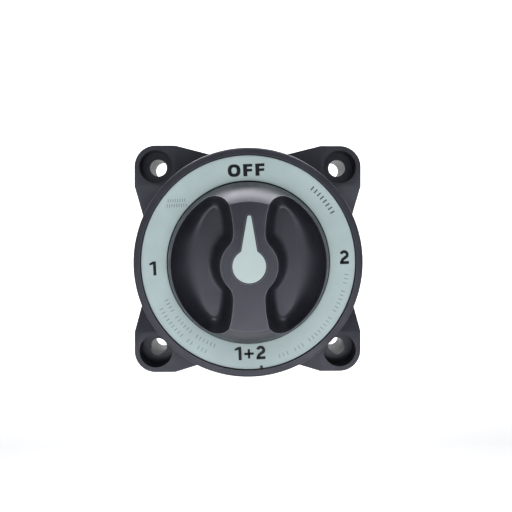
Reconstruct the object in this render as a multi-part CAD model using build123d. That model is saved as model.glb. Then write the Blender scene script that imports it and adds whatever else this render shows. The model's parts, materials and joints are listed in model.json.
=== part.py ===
from build123d import *
import math
import os

# Four-position marine battery switch: OFF, 1, 1+2 and 2.
#
# Working frame of this script, in millimetres: z runs from the rear mounting plane (z = 0)
# out to the knob, x is to the right and y is up as the dial is read. place() turns each
# finished piece into the part's own frame: +X right, +Z up, the dial facing -Y, and the
# origin at the centre of the four-hole mounting pattern, on the rear mounting plane.

# ---- driving dimensions -------------------------------------------------------------

# mounting ears
ear_square = 134.0            # over the ears, both ways
hole_spacing = 109.0          # between mounting-hole centres, both ways
hole_r = 5.1                  # clearance for a 3/8 in or M10 screw
counterbore_r = 9.7
counterbore_depth = 9.5
ear_height = 32.8             # mounting plane to the flat of an ear
pad_width = 24.0              # flat of an ear, from the outer edge to the crease
web_slope_in = 12.7           # degrees: the outline runs in towards the barrel
web_slope_back = 17.0         # degrees: the web surface falls back from the crease
ear_edge = 0.9                # bevel of the ears' front edges

# barrel and front cover
bezel_r = 63.3
bezel_z = 54.8                # mounting plane to the face of the bezel
bezel_round = 1.3
barrel_r = 61.5
barrel_wall = 3.0
barrel_top_z = 46.0
gasket_thickness = 1.0
label_outer_r = 59.0
label_inner_r = 45.0
label_thickness = 0.8
label_recess = 1.0            # face of the label below the face of the bezel
label_gap = 0.3
label_notch = 1.6             # locating notch in the label's outer edge
label_notch_angle = 277.0
well_r = 44.8                 # round well that the knob turns in
well_floor_z = 48.5
cover_wall = 3.0
label_seat_wall = 4.0

# knob
knob_r = 44.2
knob_bottom_z = 49.3
knob_shoulder_z = 56.0        # top of the knob's upright skirt
knob_top_z = 76.0
knob_flat_r = 33.1            # radius of the flat top's ends
knob_bulge = 1.5              # how far the sloping side stands out from straight
boss_r = 14.65                # round boss in the middle of the grip bar
neck_half_width = 8.0
neck_y = 16.5
neck_side_r = 55.0            # curve of the grip bar's sides
boss_blend_r = 8.0
scoop_outer_r = 43.7          # edge of the scoops at the height of the flat top
scoop_corner_r = 9.5
scoop_draft = 8.0             # degrees
scoop_floor_z = 53.0
scoop_bottom_r = 6.0
knob_wall = 2.6

# pointer insert
pointer_disc_r = 8.6
pointer_length = 26.0
pointer_shoulder = 4.1        # half width where the pointer leaves the disc
pointer_tip_r = 1.1
pointer_thickness = 1.2
pointer_sunk = 0.25           # face of the insert below the flat top
pointer_gap = 0.3

# shaft, bush, seal and clip
shaft_r = 6.0
shaft_square = 8.4
shaft_flats = 9.0
journal_r = 4.5
shaft_bottom_z = 27.8
journal_top_z = 33.0
flats_bottom_z = 36.6
flats_top_z = 39.9
square_bottom_z = 49.9
shaft_top_z = 66.0
running_gap = 0.05
bush_outer_r = 8.0
bush_flange_r = 10.5
bush_flange = 1.2
bush_bottom_z = 41.6
seal_wire_r = 0.85
seal_z = 46.0
clip_z = 40.2
clip_thickness = 1.0
clip_groove_r = 4.9
clip_outer_r = 9.0

# contact base
base_rear_z = 26.0
base_front_z = 31.0
base_gap = 0.3
ledge_inner_r = 51.5
ledge_depth = 3.5
barrier_thickness = 3.0
barrier_outer_r = 51.0
pillar_foot_r = 2.6
pillar_foot_depth = 3.0
barrier_rear_z = 5.0

# contacts
contact_thickness = 3.0
common_ring_outer_r = 20.0
common_ring_inner_r = 11.0
pad_inner_r = 22.0
pad_outer_r = 33.0
pad_half_angle = 15.0
contact_lug_r = 10.0
wiper_gap = 0.02
wiper_thickness = 2.5
wiper_inner_r = 10.5
wiper_outer_r = 32.0
wiper_half_angle = 40.0

# studs and their hardware, M12
stud_circle_r = 34.0
stud_angles = {"common_stud": 90.0, "stud_1": 225.0, "stud_2": 315.0}
stud_r = 6.0
stud_end_z = 3.0
stud_groove_r = 5.0
stud_groove_start_z = 10.6
stud_groove_end_z = 11.8
stud_chamfer = 1.0
flat_washer_r = 12.0
flat_washer_thickness = 2.2
lock_washer_r = 10.3
lock_washer_thickness = 2.8
nut_across_flats = 19.0
nut_height = 9.0

# carrier and click mechanism
carrier_r = 34.0
carrier_bottom_z = 37.0
carrier_top_z = 43.0
carrier_recess_r = 12.6
carrier_hub_r = 9.0
detent_ball_r = 3.0
detent_notch_r = 3.3
detent_notch_depth = 1.4
detent_z = 40.0
detent_angles = (0.0, 180.0)
detent_block_width = 12.0
detent_block_outer_r = 50.0
detent_pocket_end_r = 47.0

# springs
contact_spring_r = 2.4
contact_spring_wire_r = 0.45
contact_spring_top_z = 41.5
contact_spring_places = ((25.0, 66.0), (25.0, 114.0), (15.5, 270.0))
detent_spring_r = 2.1
detent_spring_wire_r = 0.45

# screws
cover_screw_circle_r = 52.0
cover_screw_angles = [30.0 + 60.0 * k for k in range(6)]
cover_screw_r = 1.75
cover_screw_head_r = 3.4
cover_screw_head = 2.0
cover_screw_length = 14.0
pillar_r = 4.0
base_screw_circle_r = 54.6
base_screw_angles = [15.0 + 90.0 * k for k in range(4)]
base_screw_r = 1.5
base_screw_head_r = 2.8
base_screw_head = 1.8
base_screw_length = 8.0
knob_screw_r = 2.5
knob_screw_head_r = 4.6
knob_screw_head = 3.0
knob_screw_length = 16.0
knob_washer_r = 5.0
knob_washer_thickness = 1.0

# cable ports
port_half_width = 13.5
port_top_z = 19.0
port_flange = 1.5
port_flange_thickness = 1.3
port_gap = 0.15
port_angles = (0.0, 90.0, 180.0, 270.0)

# ---- derived dimensions -------------------------------------------------------------

half_square = ear_square / 2
half_spacing = hole_spacing / 2
ear_corner_r = half_square - half_spacing
barrel_inner_r = barrel_r - barrel_wall
cover_rear_z = barrel_top_z + gasket_thickness
label_front_z = bezel_z - label_recess
label_seat_z = label_front_z - label_thickness
seat_underside_z = label_seat_z - label_seat_wall
well_underside_z = well_floor_z - cover_wall
base_r = barrel_inner_r - base_gap
contact_front_z = base_front_z + contact_thickness
wiper_rear_z = contact_front_z + wiper_gap
wiper_front_z = wiper_rear_z + wiper_thickness
pointer_floor_z = knob_top_z - pointer_sunk - pointer_thickness
nut_front_z = base_rear_z - flat_washer_thickness - lock_washer_thickness
screw_seat_z = knob_top_z - 7.0


# ---- helpers ------------------------------------------------------------------------

def disc(radius, z_low, z_high):
    return Pos(0, 0, z_low) * extrude(Circle(radius), z_high - z_low)


def ring(outer_r, inner_r, z_low, z_high):
    return Pos(0, 0, z_low) * extrude(Circle(outer_r) - Circle(inner_r), z_high - z_low)


def at_angle(shape, radius, angle):
    """Move a shape out along x by radius, then turn it about the switch axis."""
    return Rot(0, 0, angle) * Pos(radius, 0, 0) * shape


def prism(sketch, z_low, z_high):
    return Pos(0, 0, z_low) * extrude(sketch, z_high - z_low)


def turned(profile):
    """Solid of revolution about the switch axis, from a closed outline of (radius, z)."""
    return revolve(make_face(Plane.XZ * profile), Axis.Z)


def place(shape):
    """Turn a piece from the working frame into the part's own frame."""
    return Rot(90, 0, 0) * shape


# ---- outer case ---------------------------------------------------------------------

def ear_outline():
    """Square with ears at its corners: each side runs in towards its middle."""
    edge = half_square
    crease = edge - pad_width
    middle = edge - crease * math.tan(math.radians(web_slope_in))
    points = []
    for k in range(4):
        turn = math.radians(90 * k)
        for x, y in ((crease, edge), (0, middle), (-crease, edge), (-edge, edge)):
            points.append((x * math.cos(turn) - y * math.sin(turn),
                           x * math.sin(turn) + y * math.cos(turn)))
    outline = make_face(Polyline(*points, close=True))
    corners = outline.vertices().filter_by(lambda v: min(abs(v.X), abs(v.Y)) > edge - 1)
    return fillet(corners, ear_corner_r)


def ear_block():
    """The four ears and their webs, the webs falling back from the flats to the middle of each side."""
    block = prism(ear_outline(), 0, ear_height)
    crease = half_square - pad_width
    fall = crease * math.tan(math.radians(web_slope_back))
    points = (crease, 0), (0, -fall), (-crease, 0), (-crease, 30), (crease, 30)
    valley = make_face(Polyline(*points, close=True))
    cutter = Pos(0, 0, ear_height) * (Plane.XZ * extrude(valley, ear_square, both=True))
    return block - cutter - Rot(0, 0, 90) * cutter


def port_prism(grow, inner_r, outer_r):
    """Arched opening of a cable port at angle 0, grown all round by grow."""
    arch_z = port_top_z - port_half_width
    half = port_half_width + grow
    shape = Pos(0, arch_z) * Circle(half) + Pos(0, arch_z / 2 - 20) * Rectangle(2 * half, arch_z + 40)
    solid = extrude(Plane.YZ * shape, outer_r - inner_r)
    return Pos(inner_r, 0, 0) * solid


def ear_front_edges(block):
    """The outer front edges of the ears' flats and of the webs."""
    def on_front(edge):
        box = edge.bounding_box()
        centre = edge.center()
        return box.min.Z > 15 and max(abs(centre.X), abs(centre.Y)) > barrel_r
    return block.edges().filter_by(on_front)


def outer_case():
    shell = ear_block()
    shell = chamfer(ear_front_edges(shell), ear_edge)
    shell += disc(barrel_r, 0, barrel_top_z)
    shell -= disc(barrel_inner_r, -1, barrel_top_z + 1)
    shell += ring(barrel_inner_r + 0.5, ledge_inner_r, base_rear_z - ledge_depth, base_rear_z)
    for sx in (-1, 1):
        for sy in (-1, 1):
            spot = Pos(sx * half_spacing, sy * half_spacing, 0)
            shell -= spot * disc(hole_r, -1, ear_height + 1)
            shell -= spot * disc(counterbore_r, ear_height - counterbore_depth, ear_height + 1)
    for angle in port_angles:
        shell -= Rot(0, 0, angle) * port_prism(0, barrel_inner_r - 2, barrel_r + 4)
    for angle in base_screw_angles:
        shell -= at_angle(disc(base_screw_r, base_rear_z - ledge_depth - 1, base_rear_z + 1),
                          base_screw_circle_r, angle)
    return shell


def port_blanks():
    blanks = []
    for angle in port_angles:
        plug = port_prism(-port_gap, barrel_inner_r - 6, barrel_r + 4)
        plug &= ring(barrel_r - 0.3, barrel_inner_r, 0.3, port_top_z)
        flange = port_prism(port_flange, barrel_inner_r - 6, barrel_r + 4)
        flange_inner_r = barrel_inner_r - port_flange_thickness
        flange &= ring(barrel_inner_r, flange_inner_r, 0.3, port_top_z + port_flange + 1)
        blanks.append(Rot(0, 0, angle) * (plug + flange))
    return blanks


# ---- front cover, label and gasket --------------------------------------------------

def front_cover():
    spigot_r = barrel_inner_r - base_gap
    outline = Polyline(
        (bush_outer_r, bush_bottom_z + 0.2), (bush_outer_r + 3, bush_bottom_z + 0.2),
        (bush_outer_r + 3, well_underside_z), (well_r + cover_wall, well_underside_z),
        (well_r + cover_wall, seat_underside_z), (spigot_r - 1.3, seat_underside_z),
        (spigot_r - 1.3, cover_rear_z - 2.5), (spigot_r, cover_rear_z - 2.5),
        (spigot_r, cover_rear_z), (bezel_r, cover_rear_z), (bezel_r, bezel_z),
        (label_outer_r + label_gap, bezel_z), (label_outer_r + label_gap, label_seat_z),
        (well_r, label_seat_z), (well_r, well_floor_z), (bush_outer_r, well_floor_z), close=True)
    cover = turned(outline)
    rim = cover.edges().filter_by(GeomType.CIRCLE).filter_by(
        lambda e: abs(e.radius - bezel_r) < 0.01 and abs(e.center().Z - bezel_z) < 0.01)
    cover = fillet(rim, bezel_round)
    for angle in cover_screw_angles:
        clearance = disc(cover_screw_r + 0.25, seat_underside_z - 1, label_seat_z + 1)
        head_room = disc(cover_screw_head_r + 0.2, label_seat_z - cover_screw_head - 0.1, label_seat_z + 1)
        cover -= at_angle(clearance + head_room, cover_screw_circle_r, angle)
    return cover


def dial_label():
    label = ring(label_outer_r, label_inner_r, label_seat_z, label_front_z)
    notch = Box(2 * label_notch, label_notch, 4)
    return label - at_angle(Pos(0, 0, label_seat_z) * notch, label_outer_r, label_notch_angle)


def cover_gasket():
    return ring(barrel_r - 0.4, barrel_inner_r, barrel_top_z, cover_rear_z)


# ---- knob and pointer ---------------------------------------------------------------

def grip_bar_outline():
    """Plan of the grip bar: two waisted arms and a round boss."""
    reach = scoop_outer_r + 6
    rise = reach - neck_y
    flare = neck_half_width + neck_side_r - math.sqrt(neck_side_r ** 2 - rise ** 2)
    inner_rise = neck_y
    inner = neck_half_width + neck_side_r - math.sqrt(neck_side_r ** 2 - inner_rise ** 2)
    outline = Sketch()
    for side in (1, -1):
        right = ThreePointArc((inner, 0), (neck_half_width, side * neck_y), (flare, side * reach))
        left = ThreePointArc((-inner, 0), (-neck_half_width, side * neck_y), (-flare, side * reach))
        outline += make_face(right + left + Line((inner, 0), (-inner, 0))
                             + Line((flare, side * reach), (-flare, side * reach)))
    outline += Circle(boss_r)
    joins = outline.vertices().filter_by(lambda v: boss_r - 0.1 < math.hypot(v.X, v.Y) < boss_r + 0.1)
    return fillet(joins, boss_blend_r)


def scoops():
    """Cutters for the two finger scoops, drafted, with rounded bottoms."""
    plan = Circle(scoop_outer_r) - grip_bar_outline()
    corners = plan.vertices().filter_by(lambda v: math.hypot(v.X, v.Y) > scoop_outer_r - 0.1)
    plan = fillet(corners, scoop_corner_r)
    cutters = []
    start_z = knob_top_z + 0.5
    for face in plan.faces():
        cutter = Pos(0, 0, start_z) * extrude(face, scoop_floor_z - start_z, dir=(0, 0, 1), taper=scoop_draft)
        floor = cutter.faces().sort_by(Axis.Z)[0]
        cutters.append(fillet(floor.edges(), scoop_bottom_r))
    return cutters


def knob_side(inset, top_z):
    """The knob's outer shape, a skirt and a convex sloping side, inset by a wall."""
    low = (knob_r - inset, knob_shoulder_z)
    high = (knob_flat_r - inset, top_z)
    run = math.dist(low, high)
    bulge = ((high[1] - low[1]) / run * knob_bulge, (low[0] - high[0]) / run * knob_bulge)
    middle = ((low[0] + high[0]) / 2 + bulge[0], (low[1] + high[1]) / 2 + bulge[1])
    outline = (Polyline(high, (0, top_z), (0, knob_bottom_z), (knob_r - inset, knob_bottom_z), low)
               + ThreePointArc(low, middle, high))
    return turned(outline)


def pointer_outline(grow=0.0):
    """Round disc with a tapered pointer, grown all round by grow."""
    tip = pointer_length - pointer_tip_r
    slope = math.asin((pointer_shoulder - pointer_tip_r) / (tip - 7.5))
    root = pointer_shoulder + 7.5 * math.tan(slope)
    tip_edge = (pointer_tip_r * math.cos(slope), tip + pointer_tip_r * math.sin(slope))
    wedge = make_face(Polyline((-root, 0), (root, 0), tip_edge, (-tip_edge[0], tip_edge[1]), close=True))
    shape = Circle(pointer_disc_r) + wedge + Pos(0, tip) * Circle(pointer_tip_r)
    return offset(shape, grow) if grow else shape


def knob():
    body = knob_side(0, knob_top_z)
    for cutter in scoops():
        body -= cutter
    hub_r = 11.0
    underside = ring(knob_r - knob_wall, hub_r, knob_bottom_z - 1, scoop_floor_z - knob_wall)
    body -= underside
    inner = knob_side(knob_wall, knob_top_z - knob_wall)
    for side in (1, -1):
        pocket = Pos(0, side * 25) * Rectangle(2 * (neck_half_width - knob_wall), 26)
        body -= inner & prism(pocket, knob_bottom_z - 1, knob_top_z - knob_wall)
    body -= prism(pointer_outline(pointer_gap), pointer_floor_z, knob_top_z + 1)
    body -= disc(knob_washer_r + 0.3, screw_seat_z, knob_top_z)
    body -= disc(knob_screw_r + 0.3, shaft_top_z - 1, knob_top_z)
    body -= prism(Rectangle(shaft_square, shaft_square), knob_bottom_z - 1, shaft_top_z + 0.5)
    body -= disc(bush_flange_r + 0.4, knob_bottom_z - 1, well_floor_z + bush_flange + 0.3)
    return body


def pointer_insert():
    return prism(pointer_outline(), pointer_floor_z, pointer_floor_z + pointer_thickness)


def knob_washer():
    return ring(knob_washer_r, knob_screw_r + 0.2, screw_seat_z, screw_seat_z + knob_washer_thickness)


def cross_recess(width, depth, face_z):
    cross = Rectangle(width, width / 4) + Rectangle(width / 4, width)
    return prism(cross, face_z - depth, face_z + 1)


def knob_screw():
    seat = screw_seat_z + knob_washer_thickness
    screw = disc(knob_screw_head_r, seat, seat + knob_screw_head)
    screw = fillet(screw.faces().sort_by(Axis.Z)[-1].edges(), 1.0)
    screw += disc(knob_screw_r, seat - knob_screw_length, seat + 1)
    return screw - cross_recess(4.8, 1.8, seat + knob_screw_head)


# ---- shaft, bush, seal, clip --------------------------------------------------------

def rotor_shaft():
    shaft = disc(journal_r, shaft_bottom_z, journal_top_z) + disc(shaft_r, journal_top_z, square_bottom_z)
    shaft += prism(Rectangle(shaft_square, shaft_square), square_bottom_z, shaft_top_z)
    flats = Rectangle(40, 40) - Rectangle(40, shaft_flats)
    shaft -= prism(flats, flats_bottom_z, flats_top_z)
    shaft -= ring(shaft_r + 1, clip_groove_r, clip_z, clip_z + clip_thickness)
    seal_groove_r = shaft_r + 0.02 - 2 * seal_wire_r
    shaft -= ring(shaft_r + 1, seal_groove_r, seal_z - seal_wire_r - 0.15, seal_z + seal_wire_r + 0.15)
    thread = screw_seat_z + knob_washer_thickness - knob_screw_length - 1
    shaft -= disc(knob_screw_r, thread, shaft_top_z + 1)
    ends = shaft.faces().sort_by(Axis.Z)[0].edges()
    return chamfer(ends, 0.6)


def shaft_bush():
    bush = ring(bush_outer_r, shaft_r + running_gap, bush_bottom_z, well_floor_z)
    return bush + ring(bush_flange_r, shaft_r + running_gap, well_floor_z, well_floor_z + bush_flange)


def shaft_seal():
    return Pos(0, 0, seal_z) * Torus(shaft_r + 0.02 - seal_wire_r, seal_wire_r)


def retaining_clip():
    clip = Circle(clip_outer_r) - Circle(clip_groove_r)
    clip -= Pos(0, -clip_outer_r) * Rectangle(2 * clip_groove_r - 1.2, 2 * clip_outer_r)
    for angle in (30, 150, 270):
        clip -= Rot(0, 0, angle) * Pos(clip_groove_r + 1.2, 0) * Circle(1.5)
    return prism(clip, clip_z, clip_z + clip_thickness)


# ---- contact base, contacts and studs -----------------------------------------------

def detent_block():
    block = Rectangle(detent_block_outer_r - carrier_r - 0.4, detent_block_width)
    middle = (detent_block_outer_r + carrier_r + 0.4) / 2
    solid = prism(Pos(middle, 0) * block, base_front_z, detent_z + detent_ball_r + 2.2)
    solid = fillet(solid.edges().filter_by(Axis.Z), 1.5)
    pocket = Plane.YZ * Circle(detent_ball_r + 0.1)
    return solid - Pos(carrier_r - 1, 0, detent_z) * extrude(pocket, detent_pocket_end_r - carrier_r + 1)


def detent_blocks():
    return [Rot(0, 0, angle) * detent_block() for angle in detent_angles]


def contact_base():
    base = disc(base_r, base_rear_z, base_front_z)
    for angle in cover_screw_angles:
        base -= at_angle(disc(pillar_foot_r, base_front_z - pillar_foot_depth, base_front_z + 1),
                         cover_screw_circle_r, angle)
    base -= disc(journal_r + running_gap, shaft_bottom_z - 0.3, base_front_z + 1)
    for angle in stud_angles.values():
        base -= at_angle(disc(stud_r, base_rear_z - 1, base_front_z + 1), stud_circle_r, angle)
    for angle in base_screw_angles:
        clearance = disc(base_screw_r + 0.2, base_rear_z - 1, base_front_z + 1)
        base -= at_angle(clearance, base_screw_circle_r, angle)
    return base


def cover_pillars():
    """Pillars that stand on the base and take the cover's screws."""
    pillar = disc(pillar_r, base_front_z, seat_underside_z)
    pillar += disc(pillar_foot_r, base_front_z - pillar_foot_depth, base_front_z)
    tip_z = label_seat_z - cover_screw_head - cover_screw_length - 1
    pillar -= disc(cover_screw_r, tip_z, seat_underside_z + 1)
    return [at_angle(pillar, cover_screw_circle_r, angle) for angle in cover_screw_angles]


def terminal_barrier():
    """T-shaped insulating barrier between the three studs, behind the base."""
    across = Rectangle(2 * barrier_outer_r, barrier_thickness)
    down = Pos(0, -barrier_outer_r / 2) * Rectangle(barrier_thickness, barrier_outer_r)
    return prism(across + down, barrier_rear_z, base_rear_z)


def sector(inner_r, outer_r, middle_angle, half_angle):
    """Flat ring sector."""
    reach = outer_r * 2
    wide = math.radians(half_angle)
    wedge = make_face(Polyline((0, 0), (reach * math.cos(wide), -reach * math.sin(wide)),
                               (reach * math.cos(wide), reach * math.sin(wide)), close=True))
    return Rot(0, 0, middle_angle) * ((Circle(outer_r) - Circle(inner_r)) & wedge)


def common_contact():
    plate = Circle(common_ring_outer_r) - Circle(common_ring_inner_r)
    arm = Pos(0, (common_ring_outer_r + stud_circle_r) / 2 - 1)
    plate += arm * Rectangle(1.6 * contact_lug_r, stud_circle_r - common_ring_outer_r + 2)
    plate += Pos(0, stud_circle_r) * Circle(contact_lug_r)
    plate -= Pos(0, stud_circle_r) * Circle(stud_r)
    return prism(plate, base_front_z, contact_front_z)


def battery_contact(angle):
    plate = sector(pad_inner_r, pad_outer_r, angle, pad_half_angle)
    plate += Rot(0, 0, angle) * Pos(stud_circle_r, 0) * Circle(contact_lug_r)
    plate -= Rot(0, 0, angle) * Pos(stud_circle_r, 0) * Circle(stud_r)
    return prism(plate, base_front_z, contact_front_z)


def terminal_stud(angle):
    stud = disc(stud_r, stud_end_z, contact_front_z)
    stud -= ring(stud_r + 1, stud_groove_r, stud_groove_start_z, stud_groove_end_z)
    stud = chamfer(stud.faces().sort_by(Axis.Z)[0].edges(), stud_chamfer)
    return at_angle(stud, stud_circle_r, angle)


def stud_group(piece):
    return [at_angle(piece, stud_circle_r, angle) for angle in stud_angles.values()]


def flat_washers():
    return stud_group(ring(flat_washer_r, stud_r + 0.3, base_rear_z - flat_washer_thickness, base_rear_z))


def lock_washers():
    """Split spring washers: a ring with a slanting cut."""
    top = base_rear_z - flat_washer_thickness
    washer = ring(lock_washer_r, stud_r + 0.2, top - lock_washer_thickness, top)
    cut = Pos(8, 0, top - lock_washer_thickness / 2) * Rot(25, 0, 0) * Box(8, 0.9, 8)
    return stud_group(washer - cut)


def stud_nuts():
    hexagon = RegularPolygon(nut_across_flats / 2, 6, major_radius=False)
    nut = prism(hexagon, nut_front_z - nut_height, nut_front_z)
    corner_r = nut_across_flats / 2 / math.cos(math.radians(30))
    rear_z = nut_front_z - nut_height
    face_r = nut_across_flats / 2 - 0.4
    crown = turned(Polyline((0, rear_z), (face_r, rear_z), (corner_r, rear_z + 1.6), (corner_r, nut_front_z - 1.6),
                            (face_r, nut_front_z), (0, nut_front_z), close=True))
    return stud_group((nut & crown) - disc(stud_r, 0, base_rear_z))


# ---- carrier, wiper, springs and detent ---------------------------------------------

def contact_carrier():
    carrier = disc(carrier_r, carrier_bottom_z, carrier_top_z)
    carrier += disc(carrier_hub_r, wiper_rear_z, carrier_bottom_z)
    carrier -= disc(carrier_recess_r, flats_top_z, carrier_top_z + 1)
    for k in range(4):
        notch_r = carrier_r + detent_notch_r - detent_notch_depth
        carrier -= at_angle(disc(detent_notch_r, carrier_bottom_z - 1, carrier_top_z + 1), notch_r, 90 * k)
    for radius, angle in contact_spring_places:
        pocket_r = contact_spring_r + contact_spring_wire_r + 0.3
        carrier -= at_angle(disc(pocket_r, carrier_bottom_z - 1, contact_spring_top_z), radius, angle)
    bore = (Circle(shaft_r) & Rectangle(40, shaft_flats))
    carrier -= prism(bore, flats_bottom_z, flats_top_z + 1)
    return carrier - disc(shaft_r, wiper_rear_z - 1, flats_bottom_z)


def moving_contact():
    plate = Circle(common_ring_outer_r) - Circle(wiper_inner_r)
    plate += sector(common_ring_outer_r - 1, wiper_outer_r, 90, wiper_half_angle)
    solid = prism(plate, wiper_rear_z, wiper_front_z)
    for radius, angle in contact_spring_places:
        spigot_r = contact_spring_r - contact_spring_wire_r - 0.3
        solid += at_angle(disc(spigot_r, wiper_front_z - 0.5, wiper_front_z + 1.5), radius, angle)
    return solid


def coil(radius, wire_r, length, turns):
    """Compression spring about +z, standing on z = 0."""
    path = Helix((length - 2 * wire_r) / turns, length - 2 * wire_r, radius)
    section = Plane(origin=path @ 0, z_dir=path % 0) * Circle(wire_r)
    return Pos(0, 0, wire_r) * sweep(section, path, is_frenet=True)


def contact_springs():
    spring = coil(contact_spring_r, contact_spring_wire_r, contact_spring_top_z - wiper_front_z, 3.5)
    spring = Pos(0, 0, wiper_front_z) * spring
    return [at_angle(spring, radius, angle) for radius, angle in contact_spring_places]


def detent_balls():
    """Balls at the crest of the click, just clear of the carrier's rim."""
    ball = Pos(0, 0, detent_z) * Sphere(detent_ball_r)
    return [at_angle(ball, carrier_r + detent_ball_r + running_gap, angle) for angle in detent_angles]


def detent_springs():
    start = carrier_r + 2 * detent_ball_r + running_gap
    spring = coil(detent_spring_r, detent_spring_wire_r, detent_pocket_end_r - start, 4.5)
    spring = Pos(0, 0, detent_z) * Rot(0, 90, 0) * spring
    return [at_angle(spring, start, angle) for angle in detent_angles]


# ---- screws -------------------------------------------------------------------------

def cover_screws():
    seat = label_seat_z - cover_screw_head
    screw = disc(cover_screw_head_r, seat, label_seat_z - 0.1)
    screw += disc(cover_screw_r, seat - cover_screw_length, seat + 0.5)
    screw -= cross_recess(3.6, 1.2, label_seat_z - 0.1)
    return [at_angle(screw, cover_screw_circle_r, angle) for angle in cover_screw_angles]


def base_screws():
    screw = disc(base_screw_head_r, base_front_z, base_front_z + base_screw_head)
    screw += disc(base_screw_r, base_front_z - base_screw_length, base_front_z + 0.5)
    screw -= cross_recess(3.0, 1.0, base_front_z + base_screw_head)
    return [at_angle(screw, base_screw_circle_r, angle) for angle in base_screw_angles]


# ---- all the pieces, written one STEP each ------------------------------------------

pieces = {
    "outer_case": outer_case(),
    "port_blanks": port_blanks(),
    "front_cover": front_cover(),
    "cover_gasket": cover_gasket(),
    "cover_screws": cover_screws(),
    "dial_label": dial_label(),
    "contact_base": contact_base(),
    "cover_pillars": cover_pillars(),
    "detent_blocks": detent_blocks(),
    "terminal_barrier": terminal_barrier(),
    "base_screws": base_screws(),
    "common_contact": common_contact(),
    "contact_1": battery_contact(stud_angles["stud_1"]),
    "contact_2": battery_contact(stud_angles["stud_2"]),
    "flat_washers": flat_washers(),
    "lock_washers": lock_washers(),
    "stud_nuts": stud_nuts(),
    "shaft_bush": shaft_bush(),
    "detent_balls": detent_balls(),
    "detent_springs": detent_springs(),
    "knob": knob(),
    "pointer_insert": pointer_insert(),
    "knob_screw": knob_screw(),
    "knob_washer": knob_washer(),
    "rotor_shaft": rotor_shaft(),
    "shaft_seal": shaft_seal(),
    "retaining_clip": retaining_clip(),
    "contact_carrier": contact_carrier(),
    "moving_contact": moving_contact(),
    "contact_springs": contact_springs(),
}
for stud_name, stud_angle in stud_angles.items():
    pieces[stud_name] = terminal_stud(stud_angle)

os.makedirs("parts", exist_ok=True)
for name, shape in pieces.items():
    solids = shape if isinstance(shape, list) else [shape]
    group = Compound(children=[place(solid) for solid in solids]) if len(solids) > 1 else place(solids[0])
    export_step(group, f"parts/{name}.step")
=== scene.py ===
import bmesh
import bpy
import json
import math
import random
from mathutils import Matrix, Vector


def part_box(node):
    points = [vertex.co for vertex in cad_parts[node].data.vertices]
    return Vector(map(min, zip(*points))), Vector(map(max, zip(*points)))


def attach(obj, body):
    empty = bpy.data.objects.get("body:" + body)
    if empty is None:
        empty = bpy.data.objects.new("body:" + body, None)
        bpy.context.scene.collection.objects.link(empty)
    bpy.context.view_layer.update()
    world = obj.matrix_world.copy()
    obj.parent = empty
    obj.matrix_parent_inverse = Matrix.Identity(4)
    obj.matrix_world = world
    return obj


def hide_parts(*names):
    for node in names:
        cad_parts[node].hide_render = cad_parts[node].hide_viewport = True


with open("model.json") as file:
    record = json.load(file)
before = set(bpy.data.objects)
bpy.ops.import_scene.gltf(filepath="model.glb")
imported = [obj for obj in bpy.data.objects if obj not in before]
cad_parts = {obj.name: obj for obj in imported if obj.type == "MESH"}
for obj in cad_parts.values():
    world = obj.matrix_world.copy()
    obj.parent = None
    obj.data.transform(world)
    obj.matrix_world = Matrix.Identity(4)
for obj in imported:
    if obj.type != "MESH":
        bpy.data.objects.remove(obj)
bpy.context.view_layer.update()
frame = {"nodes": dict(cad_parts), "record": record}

# Shapes are described in millimetres about the switch axis: x to the right, y up and z out
# from the mounting plane towards the knob. The frame has the dial facing -Y and +Z up.
MM = 0.001


def to_frame(x, y, z):
    return Vector((x * MM, -z * MM, y * MM))


def span(node):
    """Lowest and highest corner of a CAD node about the switch axis, in millimetres."""
    low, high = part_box(node)
    return (Vector((low.x, low.z, -high.y)) / MM, Vector((high.x, high.z, -low.y)) / MM)


def radius_of(node):
    low, high = span(node)
    return (high.x - low.x) / 2


# ---- sizes read from the frame, and details that only the looks need ----------------------

BEZEL_R = radius_of("front_cover")
COVER_REAR = span("cover_gasket")[1].z
BEZEL_Z = span("front_cover")[1].z
LABEL_R = radius_of("dial_label")
LABEL_BACK = span("dial_label")[0].z
LABEL_Z = span("dial_label")[1].z
LABEL_INNER_R = 45.0
LABEL_GAP = 0.3
WELL_R = 44.8
BUSH_FLANGE = 1.2
WELL_Z = span("shaft_bush")[1].z - BUSH_FLANGE
KNOB_R = radius_of("knob")
KNOB_BACK = span("knob")[0].z
KNOB_TOP = span("knob")[1].z
KNOB_FLAT_R = 33.1               # the flat top ends here and the domed side starts
KNOB_SHOULDER = 56.0             # height where the domed side meets the upright skirt
KNOB_BULGE = 1.5                 # how far the domed side stands out from its chord
BOSS_R = 14.65                   # round middle of the grip bar
NECK = 8.0                       # half the bar's width at its neck, which is NECK_Y from the middle
NECK_Y = 16.5
BAR_SIDE_R = 55.0
BLEND_R = 9.4                    # from the boss into the bar's side
SCOOP_R = 43.7
SCOOP_CORNER_R = 9.6
SCOOP_DRAFT = math.radians(8)
SCOOP_FLOOR = 53.0               # lowest height of a scoop's bottom
SCOOP_BOWL = (6.5, 15.0)         # across and down: the scoop's rounded bottom
SCOOP_SWEEP = 10.5               # how much wider the bottom runs out towards the rim
POINTER_DISC_R = 8.6
POINTER_LENGTH = 26.0
POINTER_TIP_R = 1.1
POINTER_ROOT = (7.5, 4.1)        # how far up the taper's root is, and half its width there
POINTER_SLOPE = math.asin((POINTER_ROOT[1] - POINTER_TIP_R)
                          / (POINTER_LENGTH - POINTER_TIP_R - POINTER_ROOT[0]))
POINTER_GAP = 0.42
CASE_HALF = radius_of("outer_case")
CASE_TOP = span("outer_case")[1].z
BARREL_R = 61.5
BARREL_BORE = 58.5
LEDGE_R = 51.5                   # inner radius of the ledge that the contact base rests on
LEDGE_Z = span("contact_base")[0].z
LEDGE_DEPTH = 3.5
EAR_Z = 32.8
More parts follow.
